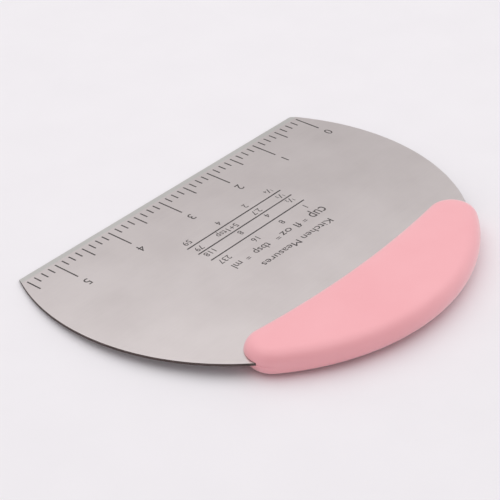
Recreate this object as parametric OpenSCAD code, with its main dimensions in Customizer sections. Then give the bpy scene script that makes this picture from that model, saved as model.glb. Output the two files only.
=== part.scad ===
// Bowl scraper: a round steel blade with one straight ruled edge, held between
// the two moulded shells of a crescent handle. It lies as it does on a table:
// on the ruled edge and on the underside of the handle.
// Lengths are in millimetres. The tool is drawn flat first, with the ruled edge
// along X, the handle towards -Y and Z = 0 at the middle of the blade's sheet.

/* [Blade] */
// Radius of the blade's curved edge
blade_r = 79.4; // [72:0.1:90]
// Distance from the ruled edge to the centre of the curve
blade_centre = 37; // [32:0.5:42]
// Thickness of the sheet
blade_t = 1; // [0.8:0.1:1.5]
// Width of the ground bevel along the ruled edge
bevel_w = 2.5; // [1:0.1:3]
// Thickness left at the ruled edge
edge_t = 0.6; // [0.3:0.05:0.7]
// Chamfer that breaks the curved edge
edge_break = 0.15; // [0.05:0.05:0.25]

/* [Ruler] */
// Spacing of the ruler's lines, an eighth of an inch
tick_pitch = 3.175; // [3:0.025:4]
// Distance from the ruled edge to the start of each line
tick_start = 3.5; // [3.1:0.1:5]
// Length of an eighth line
tick_short = 3.5; // [2:0.1:5]
// Length of a half-inch line
tick_half = 6.5; // [5:0.1:9]
// Length of an inch line
tick_inch = 11.2; // [9:0.1:14]
// Width of every engraved line
line_w = 0.35; // [0.2:0.05:0.6]
// Depth of every engraved line
line_depth = 0.05; // [0.03:0.01:0.1]

/* [Table of measures] */
// Distance from the ruled edge to the first rule of the table
table_start = 32.4; // [28:0.1:36]
// Step from the first rule to the second
table_row_1 = 5.1; // [4:0.1:8]
// Step from the second rule to the third
table_row_2 = 5.8; // [4:0.1:8]
// Length of the rules
table_w = 49; // [30:1:60]
// Distance from the middle of the blade to the middle of the rules
table_shift = 1.8; // [-10:0.1:10]

/* [Handle outline] */
// Depth of the handle at its middle
grip_w = 34.3; // [30:0.1:40]
// How far the handle stands past the blade's curved edge at the middle
grip_margin = 4.1; // [3.5:0.1:6]
// How far the centre of the handle's back curve lies behind the blade's centre
grip_shift = 4.7; // [2:0.1:5]
// Radius of the hollow front edge
front_r = 322; // [200:1:600]
// Radius of the rounded ends
end_r = 9.1; // [8.8:0.1:11]

/* [Handle section] */
// Thickness of the whole handle
grip_t = 10; // [9:0.1:13]
// Radius of the rolled rim
rim_r = 3.4; // [2.8:0.1:3.6]
// Width of the gently curved shoulder inside the rim
shoulder_w = 5; // [3:0.1:5.2]
// Radius of the shoulder
shoulder_r = 25; // [20:1:60]
// Chamfer of the parting edge round the two ends
seam_break = 0.2; // [0.1:0.05:0.3]

/* [Handle inside] */
// Thickness of the broad faces
skin = 2; // [1.6:0.1:2.4]
// Width of the solid rim round the pockets
rim_w = 2.6; // [2.2:0.1:3.5]
// Width of the blade's edge that the rim holds
land_w = 1.5; // [1:0.1:3]
// Play round the blade's curved edge
blade_play = 0.2; // [0.1:0.05:0.4]
// Gap between the blade and the upper shell
blade_gap = 0.15; // [0.05:0.05:0.3]
// Spacing of the ribs
rib_pitch = 13; // [11:0.5:14]
// Thickness of the ribs
rib_t = 1.2; // [0.8:0.1:1.6]

/* [Posts] */
// Number of posts that join the shells
post_count = 4; // [2:2:4]
// Diameter of a post
post_d = 5; // [4:0.1:6]
// Play of a post in the blade's hole
post_play = 0.3; // [0.2:0.05:0.5]
// Play of a post in its socket
socket_play = 0.05; // [0.02:0.01:0.1]
// Wall of the bosses round the posts and sockets
boss_wall = 1.6; // [1.2:0.1:2.4]
// Gap between the end of a post and the bottom of its socket
post_end_gap = 0.3; // [0.1:0.1:0.6]

/* [Hidden] */
$fa = 1;
$fs = 0.4;

blade_colour = [0.79, 0.77, 0.77];
grip_colour = [0.97, 0.74, 0.78];

// How far cutting shapes run past what they cut.
over = 1;
// Long enough to reach past the whole blade.
far = 2 * blade_r;

// Outline of the handle. Distances from the ruled edge towards the handle are
// called reach. The back curve and the hollow front edge have their centres on
// the middle line, and each end is a circle that touches both of them.
back_r = blade_r + grip_margin - grip_shift;
back_centre = blade_centre + grip_shift;
grip_back = back_centre + back_r;
grip_front = grip_back - grip_w;
front_centre = grip_front - front_r;
centre_gap = back_centre - front_centre;
end_from_front = front_r + end_r;
end_from_back = back_r - end_r;
end_reach = front_centre + (pow(end_from_front, 2) - pow(end_from_back, 2) + pow(centre_gap, 2))
    / (2 * centre_gap);
end_x = sqrt(pow(end_from_front, 2) - pow(end_reach - front_centre, 2));
// Half angles of the back curve and the front edge between the end circles.
back_angle = atan2(end_x, end_reach - back_centre);
front_angle = atan2(end_x, end_reach - front_centre);

// Section of one shell, drawn with x as the distance in from the outline.
shell_h = grip_t / 2;
shoulder_angle = asin(shoulder_w / shoulder_r);
profile_w = rim_r + shoulder_w * (1 - rim_r / shoulder_r);
rim_centre = [rim_r, shell_h - shoulder_r + (shoulder_r - rim_r) * cos(shoulder_angle)];
shoulder_centre = [profile_w, shell_h - shoulder_r];
rim_normal = [-sin(shoulder_angle), cos(shoulder_angle)];

// Spine: the curve along the middle of the handle, where the posts stand.
spine_reach = grip_back - grip_w / 2;
spine_rise = spine_reach - end_reach;
spine_r = (pow(end_x, 2) + pow(spine_rise, 2)) / (2 * spine_rise);
spine_centre = spine_reach - spine_r;
post_r = post_d / 2;
post_pitch = 2 * rib_pitch;
boss_r = post_r + socket_play + boss_wall;

// Ruler on the blade.
chord_half = sqrt(pow(blade_r, 2) - pow(blade_centre, 2));
tick_count = floor(2 * chord_half / tick_pitch);
ruler_w = tick_count * tick_pitch;

// Resting pose. The tool rests on the lower corner of the ruled edge and on the
// lower shell's shoulder, which lies nearest to that edge at the handle's ends.
rest_reach = end_reach - (end_r - profile_w);
rest_drop = shell_h - shoulder_r - blade_t / 2;
tilt = atan2(rest_drop, rest_reach)
    + asin(shoulder_r / sqrt(pow(rest_reach, 2) + pow(rest_drop, 2)));
// Outermost point of the tilted handle, on the lower shell's rim.
rest_back = (grip_back - rim_r) * cos(tilt) + rim_centre[1] * sin(tilt) + rim_r;
lift = blade_t / 2 * cos(tilt);

// Turns the flat tool into its resting pose, with the origin under the middle.
module resting() {
    translate([0, rest_back / 2, lift]) rotate([-tilt, 0, 0]) children();
}

// Point on the spine at a distance x from the tool's middle.
function spine_point(x) = [x, -(spine_centre + sqrt(pow(spine_r, 2) - pow(x, 2)))];

// X positions of the posts.
function post_xs() = [for (i = [0:post_count - 1]) (i - (post_count - 1) / 2) * post_pitch];

// Direction in the plane, as a unit vector.
function heading(angle) = [cos(angle), sin(angle)];

// Full disc of the blade with a broken edge, standing on its middle plane.
module blade_disc() {
    half = blade_t / 2;
    rim = blade_r - edge_break;
    rotate_extrude()
        polygon([[0, -half], [rim, -half], [blade_r, edge_break - half],
            [blade_r, half - edge_break], [rim, half], [0, half]]);
}

// Everything beyond the ruled edge, and the wedge ground off along it.
module edge_waste() {
    rotate([90, 0, 90])
        linear_extrude(far, center = true)
            polygon([[-bevel_w, blade_t / 2], [0, edge_t - blade_t / 2], [0, -blade_t],
                [far, -blade_t], [far, blade_t], [-bevel_w, blade_t]]);
}

// One engraved line, from its start at the given place towards the handle.
module tick(x, length) {
    translate([x - line_w / 2, -tick_start - length, blade_t / 2 - line_depth])
        cube([line_w, length, line_depth + over]);
}

// Length of a ruler line: long on the inch, middling on the half inch.
function tick_length(i) = i % 8 == 0 ? tick_inch : i % 4 == 0 ? tick_half : tick_short;

// The ruler counts from the zero mark at +X to the far end at -X.
module ruler() {
    for (i = [0:tick_count]) tick(ruler_w / 2 - i * tick_pitch, tick_length(i));
}

// The three rules of the table of measures.
module table_rules() {
    for (reach = [table_start, table_start + table_row_1, table_start + table_row_1 + table_row_2])
        translate([table_shift - table_w / 2, -reach - line_w / 2, blade_t / 2 - line_depth])
            cube([table_w, line_w, line_depth + over]);
}

// A round column at each post, between two heights.
module at_posts(r, low, high) {
    for (x = post_xs()) translate(concat(spine_point(x), low)) cylinder(r = r, h = high - low);
}

module blade() {
    color(blade_colour) resting() difference() {
        translate([0, -blade_centre, 0]) blade_disc();
        edge_waste();
        at_posts(post_r + post_play, -blade_t, blade_t);
        ruler();
        table_rules();
    }
}

// Lines from an end's centre through the points where it touches the two
// curves. They part the handle's middle from its ends, and run a little past it.
parting_length = 2 * end_r;
to_front = parting_length * heading(90 + front_angle);
to_back = parting_length * heading(back_angle - 90);
end_centre = [end_x, -end_reach];

// Area of the handle's middle, between the parting lines of both ends.
module middle_zone() {
    half = [end_centre + to_front, end_centre, end_centre + to_back, [end_x + to_back[0], -far]];
    polygon(concat(half, [for (i = [len(half) - 1:-1:0]) [-half[i][0], half[i][1]]]));
}

// Area of the end at +X, outside its parting lines.
module end_zone() {
    polygon([end_centre, end_centre + to_back, end_centre + [far, to_back[1]],
        end_centre + [far, to_front[1]], end_centre + to_front]);
}

// The handle's middle between the two curves, drawn in all round by the inset.
module middle_outline(inset) {
    intersection() {
        difference() {
            translate([0, -back_centre]) circle(back_r - inset);
            translate([0, -front_centre]) circle(front_r + inset);
        }
        middle_zone();
    }
}

// The whole outline of the handle, drawn in all round by the inset.
module outline(inset) {
    middle_outline(inset);
    for (side = [0, 1])
        mirror([side, 0])
            intersection() {
                translate(end_centre) circle(end_r - inset);
                end_zone();
            }
}

// Section of a shell from its outline inwards: wall, rolled rim, shoulder and,
// for the ends, the flat that is left inside it.
module shell_profile(flat, chamfer) {
    difference() {
        union() {
            square([profile_w, rim_centre[1]]);
            intersection() {
                translate(rim_centre) circle(rim_r);
                polygon([rim_centre, rim_centre - [2 * rim_r, 0],
                    rim_centre + [-2 * rim_r, 2 * rim_r], rim_centre + 2 * rim_r * rim_normal]);
            }
            intersection() {
                translate(shoulder_centre) circle(shoulder_r);
                polygon([[rim_r, 0], rim_centre, rim_centre + 2 * rim_r * rim_normal,
                    [profile_w, 2 * shell_h], [profile_w, 0]]);
            }
            if (flat > 0) translate([profile_w, 0]) square([flat, shell_h]);
        }
        if (chamfer > 0) polygon([[-over, chamfer + over], [-over, -over], [chamfer + over, -over]]);
    }
}

// Section of a rounded end, from its centre at x = 0 out to its rim.
module end_profile() {
    intersection() {
        translate([end_r, 0]) mirror([1, 0]) shell_profile(end_r, seam_break);
        square([end_r, shell_h]);
    }
}

// Solid form of one shell, standing on the parting plane.
module shell_form() {
    linear_extrude(shell_h) middle_outline(profile_w);
    translate([0, -back_centre, 0])
        rotate([0, 0, -90 - back_angle])
            rotate_extrude(angle = 2 * back_angle)
                translate([back_r, 0]) mirror([1, 0]) shell_profile(0, 0);
    translate([0, -front_centre, 0])
        rotate([0, 0, -90 - front_angle])
            rotate_extrude(angle = 2 * front_angle)
                translate([front_r, 0]) shell_profile(0, 0);
    for (side = [0, 1])
        mirror([side, 0, 0])
            translate(end_centre)
                rotate([0, 0, back_angle - 90])
                    rotate_extrude(angle = 180 - back_angle + front_angle) end_profile();
}

// Ribs across the handle, one rib along its spine, and the posts' bosses.
module ribs() {
    side_ribs = floor((end_x - post_r) / rib_pitch);
    for (i = [-side_ribs:side_ribs])
        translate([i * rib_pitch - rib_t / 2, -grip_back]) square([rib_t, grip_back - blade_centre]);
    for (x = post_xs()) translate(spine_point(x)) circle(boss_r);
    difference() {
        translate([0, -spine_centre]) circle(spine_r + rib_t / 2);
        translate([0, -spine_centre]) circle(spine_r - rib_t / 2);
    }
}

// Area of the pockets: inside the rim and the blade's edge, around the ribs.
module pockets() {
    difference() {
        intersection() {
            outline(rim_w);
            translate([0, -blade_centre]) circle(blade_r - land_w);
        }
        ribs();
    }
}

// One shell on the parting plane, with its seat for the blade and its pockets.
module shell(seat_depth) {
    difference() {
        shell_form();
        translate([0, -blade_centre, -over]) cylinder(r = blade_r + blade_play, h = over + seat_depth);
        translate([0, 0, -over]) linear_extrude(over + shell_h - skin) pockets();
    }
}

module upper_handle_shell() {
    color(grip_colour) resting() difference() {
        shell(blade_t / 2 + blade_gap);
        at_posts(post_r + socket_play, -over, shell_h - skin);
    }
}

module lower_handle_shell() {
    color(grip_colour) resting() {
        mirror([0, 0, 1]) shell(blade_t / 2);
        at_posts(post_r, skin - shell_h, shell_h - skin - post_end_gap);
    }
}

blade();
upper_handle_shell();
lower_handle_shell();
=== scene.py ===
import math
from collections import namedtuple

import bmesh
import bpy
from mathutils import Matrix, Vector


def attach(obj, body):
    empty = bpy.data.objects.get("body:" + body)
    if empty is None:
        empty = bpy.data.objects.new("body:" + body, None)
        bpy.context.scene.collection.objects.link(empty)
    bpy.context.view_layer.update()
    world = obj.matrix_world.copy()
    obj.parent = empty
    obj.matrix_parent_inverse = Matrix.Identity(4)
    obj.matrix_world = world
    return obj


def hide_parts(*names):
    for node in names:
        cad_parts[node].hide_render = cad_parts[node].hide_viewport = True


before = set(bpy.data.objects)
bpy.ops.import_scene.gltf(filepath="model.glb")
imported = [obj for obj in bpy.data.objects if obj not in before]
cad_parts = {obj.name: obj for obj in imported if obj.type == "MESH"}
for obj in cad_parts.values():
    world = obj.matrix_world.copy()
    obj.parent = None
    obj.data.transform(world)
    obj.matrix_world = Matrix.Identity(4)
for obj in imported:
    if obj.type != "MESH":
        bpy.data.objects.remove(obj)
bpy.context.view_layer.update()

# A bowl scraper. Lengths are in millimetres. Each piece is drawn flat, with the ruled edge along
# X, the handle towards -Y and Z = 0 at the middle of the blade's sheet, and is then laid in its
# resting pose in metres. A reach is a distance from the ruled edge towards the handle.
MM = 0.001
QUARTER = math.pi / 2

# The blade, as the solids have it.
BLADE_R = 79.4
BLADE_CENTRE = 37.0  # reach of the middle of its curve
BLADE_T = 1.0
BEVEL_W = 2.5        # strip that is ground thinner along the ruled edge
EDGE_T = 0.6         # what is left of the sheet at that edge
BLADE_PLAY = 0.2     # round the blade's curve, in its seat
BLADE_GAP = 0.15     # between the blade and the upper shell

# The handle, as the solids have it. They set the resting pose.
GRIP_W = 34.3
GRIP_MARGIN = 4.1    # how far it stands past the blade's back
GRIP_SHIFT = 4.7     # from the middle of the blade's curve to that of the handle's back
FRONT_R = 322.0
END_R = 9.1
GRIP_T = 10.0
RIM_R = 3.4
SHOULDER_W = 5.0
SHOULDER_R = 25.0

# The handle that shows. Its outline follows the photo and lies about 0.7 mm from the solids'
# at most, and its rolled rims are a little fuller than theirs.
SHOWN_W = 34.0
SHOWN_MARGIN = 3.4
SHOWN_SHIFT = 3.6
SHOWN_FRONT_R = 349.0
SHOWN_END_R = 9.2
UPPER_RIM, UPPER_SHOULDER = 4.6, 4.0
LOWER_RIM, LOWER_SHOULDER = 4.4, 4.4

# Broken edges: the blade's curve, and the parting edge of each shell round the ends.
EDGE_BREAK = 0.13
UPPER_BREAK = 0.15
LOWER_BREAK = 0.4

# Distances below which two places count as one.
NEAR = 0.001
CURVE_NEAR = 0.01

Crescent = namedtuple("Crescent", (
    "back_r", "back_centre", "back", "front_r", "front_centre",
    "end_r", "end_x", "end_reach", "back_angle", "front_angle"))


def crescent(width, margin, shift, front_r, end_r):
    """The handle's outline, worked out as in the solids: a back arc, a hollow front arc, and at
    each end a circle that touches both. The angles are half of what each long arc turns."""
    back_r, back_centre = BLADE_R + margin - shift, BLADE_CENTRE + shift
    back = back_centre + back_r
    front_centre = back - width - front_r
    apart = back_centre - front_centre
    from_front, from_back = front_r + end_r, back_r - end_r
    end_reach = front_centre + (from_front ** 2 - from_back ** 2 + apart ** 2) / (2 * apart)
    end_x = math.sqrt(from_front ** 2 - (end_reach - front_centre) ** 2)
    back_angle = math.atan2(end_x, end_reach - back_centre)
    front_angle = math.atan2(end_x, end_reach - front_centre)
    return Crescent(back_r, back_centre, back, front_r, front_centre,
                    end_r, end_x, end_reach, back_angle, front_angle)


SOLID = crescent(GRIP_W, GRIP_MARGIN, GRIP_SHIFT, FRONT_R, END_R)
SHOWN = crescent(SHOWN_W, SHOWN_MARGIN, SHOWN_SHIFT, SHOWN_FRONT_R, SHOWN_END_R)

# Section of a shell: a short wall, a rolled rim, and a shoulder that runs out into the flat.
SHELL_H = GRIP_T / 2


def section_width(rim, shoulder):
    """How far in from the outline the flat starts."""
    return rim + shoulder * (1 - rim / SHOULDER_R)


def wall_height(rim, shoulder):
    """Height of the wall under the rolled rim."""
    lean = math.asin(shoulder / SHOULDER_R)
    return SHELL_H - SHOULDER_R + (SHOULDER_R - rim) * math.cos(lean)


# Resting pose: the lower corner of the ruled edge and the lower shell's shoulder touch the table.
REST_REACH = SOLID.end_reach - (SOLID.end_r - section_width(RIM_R, SHOULDER_W))
REST_DROP = SHELL_H - SHOULDER_R - BLADE_T / 2
TILT = (math.atan2(REST_DROP, REST_REACH)
        + math.asin(SHOULDER_R / math.hypot(REST_REACH, REST_DROP)))
REST_BACK = ((SOLID.back - RIM_R) * math.cos(TILT)
             + wall_height(RIM_R, SHOULDER_W) * math.sin(TILT) + RIM_R)
LIFT = BLADE_T / 2 * math.cos(TILT)
RESTING = (Matrix.Translation((0, REST_BACK / 2 * MM, LIFT * MM))
           @ Matrix.Rotation(-TILT, 4, "X") @ Matrix.Scale(MM, 4))


def add_piece(name, bm, material, replaced=(), recalc=True):
    """Turns a bmesh drawn flat in millimetres into a piece that lies in its resting pose. Its
    faces are turned outwards first, or left alone where they point outwards already."""
    if recalc:
        bmesh.ops.recalc_face_normals(bm, faces=bm.faces)
    bmesh.ops.transform(bm, matrix=RESTING, verts=bm.verts)
    mesh = bpy.data.meshes.new(name)
    bm.to_mesh(mesh)
    bm.free()
    mesh.materials.append(material)
    piece = bpy.data.objects.new(name, mesh)
    bpy.context.scene.collection.objects.link(piece)
    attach(piece, "root")
    if replaced:
        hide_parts(*replaced)
    return piece


def smooth_shade(piece, angle):
    """Smooth faces, with the edges that turn more than the angle, in degrees, left sharp."""
    piece.data.shade_smooth()
    piece.data.set_sharp_from_angle(angle=math.radians(angle))


def everything(bm):
    """All that a bmesh is made of, for an operator that takes geometry."""
    return bm.verts[:] + bm.edges[:] + bm.faces[:]


def extrude_up(bm, faces, height):
    """Extrudes flat faces along Z and returns the new top faces."""
    out = bmesh.ops.extrude_face_region(bm, geom=faces)
    verts = [g for g in out["geom"] if isinstance(g, bmesh.types.BMVert)]
    bmesh.ops.translate(bm, verts=verts, vec=(0, 0, height))
    return [g for g in out["geom"] if isinstance(g, bmesh.types.BMFace)]


# Shader nodes.
def wire(tree, source, target):
    """Links two sockets."""
    tree.links.new(source, target)


def noise(tree, vector, scale, detail, roughness):
    """A noise texture on the vector; returns its value."""
    node = tree.nodes.new("ShaderNodeTexNoise")
    node.inputs["Scale"].default_value = scale
    node.inputs["Detail"].default_value = detail
    node.inputs["Roughness"].default_value = roughness
    wire(tree, vector, node.inputs["Vector"])
    return node.outputs["Fac"]


def remap(tree, value, source, target):
    """Takes a value from one range to another, held at the target's ends."""
    node = tree.nodes.new("ShaderNodeMapRange")
    for socket, number in zip(("From Min", "From Max", "To Min", "To Max"), (*source, *target)):
        node.inputs[socket].default_value = number
    wire(tree, value, node.inputs["Value"])
    return node.outputs["Result"]


def arithmetic(tree, kind, *values):
    """A math node on sockets or numbers."""
    node = tree.nodes.new("ShaderNodeMath")
    node.operation = kind
    for socket, value in zip(node.inputs, values):
        if isinstance(value, (int, float)):
            socket.default_value = value
        else:
            wire(tree, value, socket)
    return node.outputs["Value"]


def times(tree, value, factor):
    """One value or socket times another."""
    return arithmetic(tree, "MULTIPLY", value, factor)


def plus(tree, first, second):
    """One value or socket plus another."""
    return arithmetic(tree, "ADD", first, second)


def blend_colours(tree, factor, first, second):
    """Mixes two plain colours by a factor."""
    node = tree.nodes.new("ShaderNodeMix")
    node.data_type = "RGBA"
    node.inputs["A"].default_value = (*first, 1)
    node.inputs["B"].default_value = (*second, 1)
    wire(tree, factor, node.inputs["Factor"])
    return node.outputs["Result"]


def new_group(name, values):
    """A shader node group that takes a vector and puts out named values."""
    group = bpy.data.node_groups.new(name, "ShaderNodeTree")
    group.interface.new_socket("Vector", in_out="INPUT", socket_type="NodeSocketVector")
    for value in values:
        group.interface.new_socket(value, in_out="OUTPUT", socket_type="NodeSocketFloat")
    return group, group.nodes.new("NodeGroupInput"), group.nodes.new("NodeGroupOutput")


# Textures on object coordinates, in metres. A noise has its scale, detail and roughness.
BRUSH_STRETCH = (40, 1600, 40)
BRUSH_LINES = (1, 3, 0.6)
STEEL_SHEEN = (42, 4, 0.55)
STEEL_SPECKS = (420, 3, 0.6)
MOULD_TEXTURE = (2600, 2, 0.5)
MOULD_TONE = (45, 3, 0.5)


def brushed_grain():
    """Fine straight brushing along X, a broad uneven sheen, and specks, each round one half."""
    group, source, out = new_group("brushed_grain", ("Lines", "Sheen", "Specks"))
    place = source.outputs["Vector"]
    stretch = group.nodes.new("ShaderNodeMapping")
    stretch.inputs["Scale"].default_value = BRUSH_STRETCH
    wire(group, place, stretch.inputs["Vector"])
    wire(group, noise(group, stretch.outputs["Vector"], *BRUSH_LINES), out.inputs["Lines"])
    wire(group, noise(group, place, *STEEL_SHEEN), out.inputs["Sheen"])
    wire(group, noise(group, place, *STEEL_SPECKS), out.inputs["Specks"])
    return group


def moulded_skin():
    """The fine spark-eroded texture of a mould, and a slow change of tone."""
    group, source, out = new_group("moulded_skin", ("Texture", "Tone"))
    place = source.outputs["Vector"]
    wire(group, noise(group, place, *MOULD_TEXTURE), out.inputs["Texture"])
    wire(group, noise(group, place, *MOULD_TONE), out.inputs["Tone"])
    return group


GRAIN = brushed_grain()
SKIN = moulded_skin()

# The darker and the lighter tone of each finish, as linear base colours.
STEEL = ((0.652, 0.597, 0.592), (0.708, 0.653, 0.648))
GROUND = ((0.62, 0.61, 0.59), (0.67, 0.66, 0.64))
# The cut side's tones are painted shade: far darker than the steel, standing in for the shade
# that edge lies in.
CUT_SHADE = ((0.09, 0.07, 0.067), (0.15, 0.12, 0.115))
PINK = ((0.93, 0.408, 0.447), (0.95, 0.433, 0.472))
ETCHED = ((0.025, 0.02, 0.02), (0.07, 0.058, 0.057))
PALE = ((0.875, 0.85, 0.88), (0.89, 0.865, 0.895))

# Roughness: the middle and the spread for the steel sheet, the ends of a range for the others.
STEEL_ROUGH = 0.31
GROUND_ROUGH = 0.4
STEEL_SPREAD = 0.02
CUT_ROUGH = (0.42, 0.6)
PINK_ROUGH = (0.38, 0.48)
ETCHED_ROUGH = (0.5, 0.7)
PALE_ROUGH = 0.9

# Bumps: strength, and depth in metres.
BRUSH_BUMP = (0.015, 0.00002)
MOULD_BUMP = (0.12, 0.00003)

# Share of the brushing in the steel's tone; the rest is the broad sheen.
BRUSH_SHARE = 0.2
PINK_GLOSS = {"Sheen Weight": 0.7, "Sheen Roughness": 0.35, "Specular IOR Level": 0.8}

# The ranges of a noise that carry a change, from strong to soft, and one that leaves the
# lighter tone to the few highest values.
STRONG = (0.35, 0.65)
SOFT = (0.3, 0.7)
WORN = (0.4, 0.75)


def new_material(name, group, metallic=0.0):
    """A Principled material with a texture group on object coordinates."""
    material = bpy.data.materials.new(name)
    material.use_nodes = True
    tree = material.node_tree
    shader = tree.nodes["Principled BSDF"]
    shader.inputs["Metallic"].default_value = metallic
    coordinates = tree.nodes.new("ShaderNodeTexCoord")
    detail = tree.nodes.new("ShaderNodeGroup")
    detail.node_tree = group
    wire(tree, coordinates.outputs["Object"], detail.inputs["Vector"])
    return material, tree, shader, detail.outputs


def add_tones(tree, shader, value, source, tones):
    """Base colour between two tones, as the value runs through the source range."""
    factor = remap(tree, value, source, (0, 1))
    wire(tree, blend_colours(tree, factor, *tones), shader.inputs["Base Color"])


def add_roughness(tree, shader, value, ends):
    """Roughness between two ends, as the value runs through the soft range."""
    wire(tree, remap(tree, value, SOFT, ends), shader.inputs["Roughness"])


def add_bump(tree, shader, height, strength, distance):
    """Fine relief from a value."""
    bump = tree.nodes.new("ShaderNodeBump")
    bump.inputs["Strength"].default_value = strength
    bump.inputs["Distance"].default_value = distance
    wire(tree, height, bump.inputs["Height"])
    wire(tree, bump.outputs["Normal"], shader.inputs["Normal"])


def steel_finish(name, tones, rough):
    """Metal sheet with fine brushing and a broad uneven sheen."""
    material, tree, shader, detail = new_material(name, GRAIN, metallic=1.0)
    tone = plus(tree, times(tree, detail["Lines"], BRUSH_SHARE),
                times(tree, detail["Sheen"], 1 - BRUSH_SHARE))
    add_tones(tree, shader, tone, STRONG, tones)
    add_roughness(tree, shader, detail["Lines"], (rough - STEEL_SPREAD, rough + STEEL_SPREAD))
    add_bump(tree, shader, detail["Lines"], *BRUSH_BUMP)
    return material


def sheared_edge():
    """The cut side of the sheet and the steeper facets of its broken edge, uneven, in painted
    shade: far darker than steel, so that the edge shows no highlight.
    """
    material, tree, shader, detail = new_material("sheared_edge", GRAIN, metallic=1.0)
    add_tones(tree, shader, detail["Specks"], STRONG, CUT_SHADE)
    add_roughness(tree, shader, detail["Specks"], CUT_ROUGH)
    return material


def pink_plastic():
    """Satin moulded plastic."""
    material, tree, shader, detail = new_material("pink_plastic", SKIN)
    for socket, number in PINK_GLOSS.items():
        shader.inputs[socket].default_value = number
    add_tones(tree, shader, detail["Tone"], STRONG, PINK)
    add_roughness(tree, shader, detail["Texture"], PINK_ROUGH)
    add_bump(tree, shader, detail["Texture"], *MOULD_BUMP)
    return material


def etched_mark():
    """The dark, slightly worn lines and letters on the steel."""
    material, tree, shader, detail = new_material("etched_mark", GRAIN)
    add_tones(tree, shader, detail["Specks"], WORN, ETCHED)
    add_roughness(tree, shader, detail["Lines"], ETCHED_ROUGH)
    return material


steel = steel_finish("brushed_steel", STEEL, STEEL_ROUGH)
ground_steel = steel_finish("ground_steel", GROUND, GROUND_ROUGH)
# The cut side's finish is painted shade.
shaded_cut_steel = sheared_edge()
plastic = pink_plastic()
mark = etched_mark()

# Blade.
BLADE_SEGMENTS = 360
BREAK_STEPS = 3
BLADE_SHARP = 6
SHADE_TURN = 0.9  # a face whose normal has less of Z than this, the cut side or a steeper facet of its broken edge, takes the painted shade
SHADED_FACE, GROUND_FACE = 1, 2
DISC_CENTRE = Vector((0, -BLADE_CENTRE))


def on_curve(edge):
    """Whether an edge runs along the blade's curve, on its top or its underside."""
    first, second = edge.verts
    level = abs(first.co.z - second.co.z) < NEAR
    round_side = all(abs((v.co.xy - DISC_CENTRE).length - BLADE_R) < CURVE_NEAR
                     for v in edge.verts)
    return level and round_side and min(first.co.y, second.co.y) < -NEAR


def blade():
    """The steel sheet: a disc cut along the ruled edge, broken round its curve and ground
    thinner along the cut."""
    bm = bmesh.new()
    bmesh.ops.create_circle(bm, cap_ends=True, radius=BLADE_R, segments=BLADE_SEGMENTS)
    bmesh.ops.translate(bm, verts=bm.verts, vec=(0, -BLADE_CENTRE, -BLADE_T / 2))
    bmesh.ops.bisect_plane(bm, geom=everything(bm), plane_co=(0, 0, 0), plane_no=(0, 1, 0),
                           clear_outer=True)
    extrude_up(bm, bm.faces[:], BLADE_T)
    bmesh.ops.bevel(bm, geom=[e for e in bm.edges if on_curve(e)], affect="EDGES",
                    offset=EDGE_BREAK, segments=BREAK_STEPS, profile=0.5, material=-1)
    bmesh.ops.bisect_plane(bm, geom=everything(bm), plane_co=(0, -BEVEL_W, 0),
                           plane_no=(0, 1, 0))
    slope = (BLADE_T - EDGE_T) / BEVEL_W
    for v in bm.verts:
        if v.co.y > -BEVEL_W + NEAR and v.co.z > 0:
            v.co.z = min(v.co.z, BLADE_T / 2 - slope * (v.co.y + BEVEL_W))
    piece = add_piece("blade_sheet", bm, steel, ["blade"])
    # The sheet's other two finishes, in this order: painted shade for the cut side and the
    # steeper facets of the broken edge, then the ground strip.
    piece.data.materials.append(shaded_cut_steel)
    piece.data.materials.append(ground_steel)
    ground_from = (REST_BACK / 2 - BEVEL_W) * MM
    for face in piece.data.polygons:
        # Painted shade: the cut side and the steeper facets of the broken edge take the dark
        # finish, which also hides their highlight.
        if abs(face.normal.z) < SHADE_TURN:
            face.material_index = SHADED_FACE
        elif face.normal.z > 0 and face.center.y > ground_from:
            face.material_index = GROUND_FACE
    smooth_shade(piece, BLADE_SHARP)


# Ruler. Its lines are an eighth of an inch apart, and its zero is at the +X end.
TICK_PITCH = 3.175
TICKS_IN_INCH = 8
TICK_START = 3.5  # reach of the lines' feet
TICK_SHORT, TICK_HALF, TICK_INCH = 3.5, 6.5, 11.2
CHORD_HALF = math.sqrt(BLADE_R ** 2 - BLADE_CENTRE ** 2)
TICK_COUNT = int(2 * CHORD_HALF / TICK_PITCH)
RULER_W = TICK_COUNT * TICK_PITCH
DIGIT_BASE, DIGIT_H = 17.6, 3.55

# Every mark is a thin form on the steel, half of it sunk in. The lines are wider than the
# solids' engraved ones, as the photo shows them.
LINE_W = 0.55
MARK_H = 0.012  # above the steel

# Table of measures. Its three lines are given by their reach.
TABLE_LINES = (32.4, 37.5, 43.3)
TABLE_W = 49.0
TABLE_SHIFT = 1.8
# Title: words, middle in X, reach of the baseline, height and width.
TITLE = ("Kitchen Measures", 4.1, 57.7, 2.75, 35.8)
# Heads of the columns: words, middle in X and width.
UNITS = (("cup", 23.0, 7.4), ("=", 16.0, 1.6), ("fl oz", 8.75, 9.5), ("=", 1.8, 1.8),
         ("tbsp", -6.3, 7.4), ("=", -13.8, 1.6), ("ml", -19.0, 4.0))
UNITS_BASE, UNITS_H = 50.6, 3.1
EQUALS_RISE, EQUALS_SCALE = 0.55, 0.55
# Rows: reach of the baseline, then the words and their middle in X.
ROWS = ((45.3, ("1", 23.2), ("8", 10.4), ("16", -3.6), ("237", -19.4)),
        (38.5, ("1/2", 23.1), ("4", 10.5), ("8", -3.6), ("118", -19.4)),
        (33.9, ("1/3", 23.1), ("2.7", 10.1), ("5+1tsp", -5.2), ("79", -19.7)),
        (28.3, ("1/4", 23.1), ("2", 10.4), ("4", -3.7), ("59", -19.7)))
ROW_H = 2.5
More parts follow.
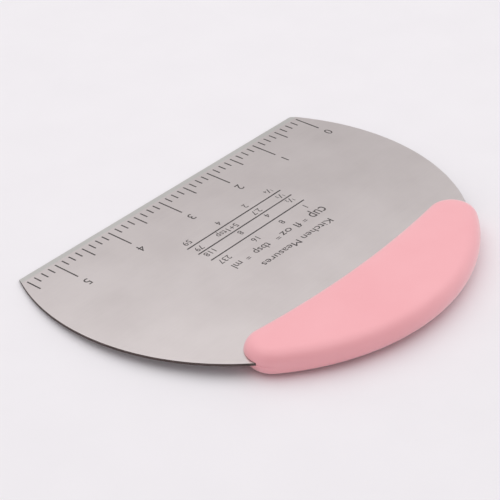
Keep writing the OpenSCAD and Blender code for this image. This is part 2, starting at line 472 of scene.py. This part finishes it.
# A fraction's figures: their size, and how far each stands from the stroke's middle and foot.
FIGURE_H = 1.5
FIGURE_APART = 1.15
FIGURE_RISE, FIGURE_DROP = 1.1, 0.1
STROKE_W = 1.5
LETTER_STEPS = 3


def bar(bm, low, high):
    """A thin printed bar on the blade's top face, between two corners."""
    centre = Vector(((low[0] + high[0]) / 2, (low[1] + high[1]) / 2, BLADE_T / 2))
    size = (high[0] - low[0], high[1] - low[1], 2 * MARK_H)
    place = Matrix.Translation(centre) @ Matrix.Diagonal((*size, 1))
    bmesh.ops.create_cube(bm, size=1, matrix=place)


def tick_length(count):
    """Length of the ruler's line at a count of eighths."""
    if count % TICKS_IN_INCH == 0:
        return TICK_INCH
    return TICK_HALF if count % (TICKS_IN_INCH // 2) == 0 else TICK_SHORT


def ruler_lines():
    """The ruler's lines and the three long lines of the table."""
    bm = bmesh.new()
    for count in range(TICK_COUNT + 1):
        x = RULER_W / 2 - count * TICK_PITCH
        bar(bm, (x - LINE_W / 2, -TICK_START - tick_length(count)),
            (x + LINE_W / 2, -TICK_START))
    for reach in TABLE_LINES:
        bar(bm, (TABLE_SHIFT - TABLE_W / 2, -reach - LINE_W / 2),
            (TABLE_SHIFT + TABLE_W / 2, -reach + LINE_W / 2))
    add_piece("ruler_lines", bm, mark)


def evaluated(piece):
    """A new mesh of an object as its text or its modifiers make it."""
    depsgraph = bpy.context.evaluated_depsgraph_get()
    return bpy.data.meshes.new_from_object(piece.evaluated_get(depsgraph))


def letters(bm, words, centre, baseline, height, width=0.0):
    """Adds words to a bmesh on the blade's top face. They read along -X, with their heads
    towards the handle. Centre is their middle in X, baseline the reach of their foot, and a
    width of 0 leaves them in proportion to their height."""
    curve = bpy.data.curves.new("letters", "FONT")
    curve.body = words
    curve.extrude = 1
    curve.resolution_u = LETTER_STEPS
    outline = bpy.data.objects.new("letters", curve)
    bpy.context.scene.collection.objects.link(outline)
    solid = evaluated(outline)
    bpy.data.objects.remove(outline)
    bpy.data.curves.remove(curve)
    left = min(v.co.x for v in solid.vertices)
    right = max(v.co.x for v in solid.vertices)
    rise = height / max(v.co.y for v in solid.vertices)
    run = width / (right - left) if width else rise
    solid.transform(Matrix.Translation((centre, -baseline, BLADE_T / 2))
                    @ Matrix.Diagonal((-run, -rise, MARK_H, 1))
                    @ Matrix.Translation((-(left + right) / 2, 0, 0)))
    bm.from_mesh(solid)
    # Text comes with its caps loose from its sides. Joined, its faces can be turned outwards.
    bmesh.ops.remove_doubles(bm, verts=bm.verts, dist=NEAR)
    bpy.data.meshes.remove(solid)


def ruler_digits():
    """A digit past each inch line."""
    bm = bmesh.new()
    for inch in range(TICK_COUNT // TICKS_IN_INCH + 1):
        middle = RULER_W / 2 - TICKS_IN_INCH * inch * TICK_PITCH
        letters(bm, str(inch), middle, DIGIT_BASE, DIGIT_H)
    add_piece("ruler_digits", bm, mark)


def fraction(bm, words, centre, baseline):
    """Small figures on both sides of a sloping stroke."""
    upper, lower = words.split("/")
    letters(bm, upper, centre + FIGURE_APART, baseline + FIGURE_RISE, FIGURE_H)
    letters(bm, "/", centre, baseline, ROW_H, STROKE_W)
    letters(bm, lower, centre - FIGURE_APART, baseline - FIGURE_DROP, FIGURE_H)


def measure_table():
    """The table's title, the heads of its columns, and its rows."""
    bm = bmesh.new()
    letters(bm, *TITLE)
    for words, centre, width in UNITS:
        if words == "=":
            letters(bm, words, centre, UNITS_BASE + EQUALS_RISE, UNITS_H * EQUALS_SCALE, width)
        else:
            letters(bm, words, centre, UNITS_BASE, UNITS_H, width)
    for baseline, *entries in ROWS:
        for words, centre in entries:
            if "/" in words:
                fraction(bm, words, centre, baseline)
            else:
                letters(bm, words, centre, baseline, ROW_H)
    add_piece("measure_table", bm, mark)


# Handle.
ARC_STEP = 0.8
ARC_LEAST = 4
RIM_STEPS = 12
SHOULDER_STEPS = 8
GRIP_SHARP = 30
END_SWEEP = math.pi - SHOWN.back_angle + SHOWN.front_angle
SEAM_OVER = 1.0   # how far the seam's cutter runs past what it cuts
SEAM_STEPS = 90
SEAM_GROWS = 0.5  # share of an end's arc over which the break grows to its full size


def arc(bm, centre, radius, start, sweep):
    """An arc of edges about a centre, as one spun vertex. Angles are in radians."""
    x = centre[0] + radius * math.cos(start)
    y = centre[1] + radius * math.sin(start)
    first = bm.verts.new((x, y, 0))
    steps = max(ARC_LEAST, round(abs(sweep) * radius / ARC_STEP))
    bmesh.ops.spin(bm, geom=[first], cent=(*centre, 0), axis=(0, 0, 1), angle=sweep,
                   steps=steps)


def handle_outline(bm):
    """The closed outline of the handle, filled with one face."""
    arc(bm, (0, -SHOWN.back_centre), SHOWN.back_r,
        -QUARTER - SHOWN.back_angle, 2 * SHOWN.back_angle)
    arc(bm, (0, -SHOWN.front_centre), SHOWN.front_r,
        -QUARTER - SHOWN.front_angle, 2 * SHOWN.front_angle)
    arc(bm, (SHOWN.end_x, -SHOWN.end_reach), SHOWN.end_r,
        SHOWN.back_angle - QUARTER, END_SWEEP)
    arc(bm, (-SHOWN.end_x, -SHOWN.end_reach), SHOWN.end_r,
        QUARTER - SHOWN.front_angle, END_SWEEP)
    bmesh.ops.remove_doubles(bm, verts=bm.verts, dist=CURVE_NEAR)
    bmesh.ops.contextual_create(bm, geom=bm.edges[:])


def profile(rim, shoulder):
    """Steps of the shell's section, as pairs of inset and height from the wall's top inwards."""
    wall, lean = wall_height(rim, shoulder), math.asin(shoulder / SHOULDER_R)
    points = []
    for i in range(1, RIM_STEPS + 1):
        turn = (QUARTER - lean) * i / RIM_STEPS
        points.append((rim * (1 - math.cos(turn)), wall + rim * math.sin(turn)))
    for i in range(SHOULDER_STEPS - 1, -1, -1):
        turn = lean * i / SHOULDER_STEPS
        points.append((section_width(rim, shoulder) - SHOULDER_R * math.sin(turn),
                       SHELL_H - SHOULDER_R * (1 - math.cos(turn))))
    return points


def seat_cutter(depth):
    """The disc that clears the blade's seat, up to the given depth."""
    bm = bmesh.new()
    radius = BLADE_R + BLADE_PLAY
    bmesh.ops.create_cone(bm, cap_ends=True, segments=BLADE_SEGMENTS, radius1=radius,
                          radius2=radius, depth=2 * depth)
    bmesh.ops.translate(bm, verts=bm.verts, vec=(0, -BLADE_CENTRE, 0))
    return bm


def seam_cutter(side, size):
    """The ring that breaks the parting edge round one end. At the handle's back, where its
    sweep starts, it stands clear of the wall, and it closes in to its full cut."""
    bm = bmesh.new()
    outside = SHOWN.end_r + SEAM_OVER
    corners = ((SHOWN.end_r - size - SEAM_OVER, -SEAM_OVER), (outside, size + SEAM_OVER),
               (outside, -SEAM_OVER))
    bm.faces.new([bm.verts.new((x, 0, z)) for x, z in corners])
    bmesh.ops.spin(bm, geom=everything(bm), cent=(0, 0, 0), axis=(0, 0, 1), angle=END_SWEEP,
                   steps=SEAM_STEPS)
    for v in bm.verts:
        share = math.atan2(v.co.y, v.co.x) / END_SWEEP
        clear = size * (1 - min(1, max(0, share / SEAM_GROWS)))
        distance = v.co.xy.length
        v.co.xy *= (distance + clear) / distance
    bmesh.ops.rotate(bm, verts=bm.verts, cent=(0, 0, 0),
                     matrix=Matrix.Rotation(SHOWN.back_angle - QUARTER, 3, "Z"))
    bmesh.ops.translate(bm, verts=bm.verts, vec=(SHOWN.end_x, -SHOWN.end_reach, 0))
    if side < 0:
        bmesh.ops.scale(bm, vec=(-1, 1, 1), verts=bm.verts)
    return bm


def carve(bm, cutters):
    """Cuts the cutters out of a bmesh, one after another, and returns the result."""
    scratch = []

    def scratch_object(source):
        bmesh.ops.recalc_face_normals(source, faces=source.faces)
        mesh = bpy.data.meshes.new("scratch")
        source.to_mesh(mesh)
        source.free()
        obj = bpy.data.objects.new("scratch", mesh)
        bpy.context.scene.collection.objects.link(obj)
        scratch.append(obj)
        return obj

    body = scratch_object(bm)
    for cutter in cutters:
        cut = body.modifiers.new("cut", "BOOLEAN")
        cut.operation = "DIFFERENCE"
        cut.solver = "EXACT"
        cut.object = scratch_object(cutter)
    carved = evaluated(body)
    result = bmesh.new()
    result.from_mesh(carved)
    bpy.data.meshes.remove(carved)
    for obj in scratch:
        mesh = obj.data
        bpy.data.objects.remove(obj)
        bpy.data.meshes.remove(mesh)
    return result


def shell(name, node, side, rim, shoulder, seat, seam):
    """One half of the handle: the outline raised and inset step by step into the rolled rim and
    the shoulder, with the blade's seat and the broken parting edge cut out. Side is 1 for the
    upper half and -1 for the lower one, which is turned over."""
    bm = bmesh.new()
    handle_outline(bm)
    inset, height = 0, wall_height(rim, shoulder)
    top = extrude_up(bm, bm.faces[:], height)
    for next_inset, next_height in profile(rim, shoulder):
        bmesh.ops.inset_region(bm, faces=top, thickness=next_inset - inset,
                               use_even_offset=True)
        bmesh.ops.translate(bm, verts=top[0].verts, vec=(0, 0, next_height - height))
        inset, height = next_inset, next_height
    bm = carve(bm, [seat_cutter(seat), seam_cutter(1, seam), seam_cutter(-1, seam)])
    if side < 0:
        bmesh.ops.scale(bm, vec=(1, 1, -1), verts=bm.verts)
        bmesh.ops.reverse_faces(bm, faces=bm.faces)
    piece = add_piece(name, bm, plastic, [node], recalc=False)
    smooth_shade(piece, GRIP_SHARP)


blade()
ruler_lines()
ruler_digits()
measure_table()
shell("upper_grip", "upper_handle_shell", 1, UPPER_RIM, UPPER_SHOULDER,
      BLADE_T / 2 + BLADE_GAP, UPPER_BREAK)
shell("lower_grip", "lower_handle_shell", -1, LOWER_RIM, LOWER_SHOULDER,
      BLADE_T / 2, LOWER_BREAK)

# Camera, at the photo's viewing angle. It looks at a point given from the middle of the ruled
# edge, on the sheet's top.
CAMERA_AZIMUTH = math.radians(-49.031)
CAMERA_ELEVATION = math.radians(35.080)
CAMERA_DISTANCE = 581.0
CAMERA_AIM = Vector((-7.21, -47.11, 0))
FOCAL_PX = 1702.8
FRAME_PX = 500
SENSOR_W = 36.0
CLIP_START = 0.01


def camera():
    """The camera, with the focal length that was fitted in pixels."""
    level = math.cos(CAMERA_ELEVATION)
    back = Vector((math.sin(CAMERA_AZIMUTH) * level, -math.cos(CAMERA_AZIMUTH) * level,
                   math.sin(CAMERA_ELEVATION)))
    edge = Vector((0, REST_BACK / 2 + BLADE_T / 2 * math.sin(TILT),
                   LIFT + BLADE_T / 2 * math.cos(TILT)))
    data = bpy.data.cameras.new("camera")
    data.sensor_width = SENSOR_W
    data.lens = FOCAL_PX / FRAME_PX * SENSOR_W
    data.clip_start = CLIP_START
    cam = bpy.data.objects.new("camera", data)
    cam.location = (edge + CAMERA_AIM + back * CAMERA_DISTANCE) * MM
    cam.rotation_mode = "QUATERNION"
    cam.rotation_quaternion = (-back).to_track_quat("-Z", "Y")
    bpy.context.scene.collection.objects.link(cam)
    bpy.context.scene.camera = cam


# Table top, light and surroundings. Places and sizes are in metres.
FLOOR_SIZE = 3
KEY_PLACE = Vector((0.1, 0.1, 1.0))
KEY_SIZE = 2.0
KEY_POWER = 7.9
WORLD_COLOUR = (1, 0.985, 0.99)
WORLD_LEVEL = 0.395
WORLD_RISE = (0.14, 0.12, 0.05)  # towards X, Y and Z
PANEL_LEVEL = 0.4
PANEL_X, PANEL_Y = 0.656, 0.755  # cosine and sine of the camera's azimuth, without their signs


def floor():
    """A plain pale table top."""
    bm = bmesh.new()
    bmesh.ops.create_grid(bm, x_segments=1, y_segments=1, size=FLOOR_SIZE)
    mesh = bpy.data.meshes.new("floor")
    bm.to_mesh(mesh)
    bm.free()
    material, tree, shader, detail = new_material("pale_table", SKIN)
    shader.inputs["Roughness"].default_value = PALE_ROUGH
    add_tones(tree, shader, detail["Tone"], SOFT, PALE)
    mesh.materials.append(material)
    obj = bpy.data.objects.new("floor", mesh)
    bpy.context.scene.collection.objects.link(obj)


def key_light():
    """A broad soft disc overhead, turned to the object."""
    data = bpy.data.lights.new("key", "AREA")
    data.shape = "DISK"
    data.size = KEY_SIZE
    data.energy = KEY_POWER
    obj = bpy.data.objects.new("key", data)
    obj.location = KEY_PLACE
    obj.rotation_mode = "QUATERNION"
    obj.rotation_quaternion = (-KEY_PLACE).to_track_quat("-Z", "Y")
    bpy.context.scene.collection.objects.link(obj)


def studio():
    """Soft surroundings: a little brighter behind the object and above it, with a wide soft
    panel on each side of the camera's line."""
    world = bpy.data.worlds.new("studio")
    world.use_nodes = True
    tree = world.node_tree
    coordinates = tree.nodes.new("ShaderNodeTexCoord")
    split = tree.nodes.new("ShaderNodeSeparateXYZ")
    wire(tree, coordinates.outputs["Generated"], split.inputs["Vector"])
    x, y, z = split.outputs
    across, along, up = (times(tree, way, rise) for way, rise in zip((x, y, z), WORLD_RISE))
    sideways = arithmetic(tree, "SUBTRACT", times(tree, x, PANEL_X), times(tree, y, PANEL_Y))
    panels = times(tree, arithmetic(tree, "ABSOLUTE", sideways), PANEL_LEVEL)
    slope = plus(tree, plus(tree, across, along), plus(tree, up, WORLD_LEVEL))
    background = tree.nodes["Background"]
    background.inputs["Color"].default_value = (*WORLD_COLOUR, 1)
    wire(tree, plus(tree, slope, panels), background.inputs["Strength"])
    bpy.context.scene.world = world


camera()
floor()
key_light()
studio()
bpy.context.scene.view_settings.view_transform = "Standard"
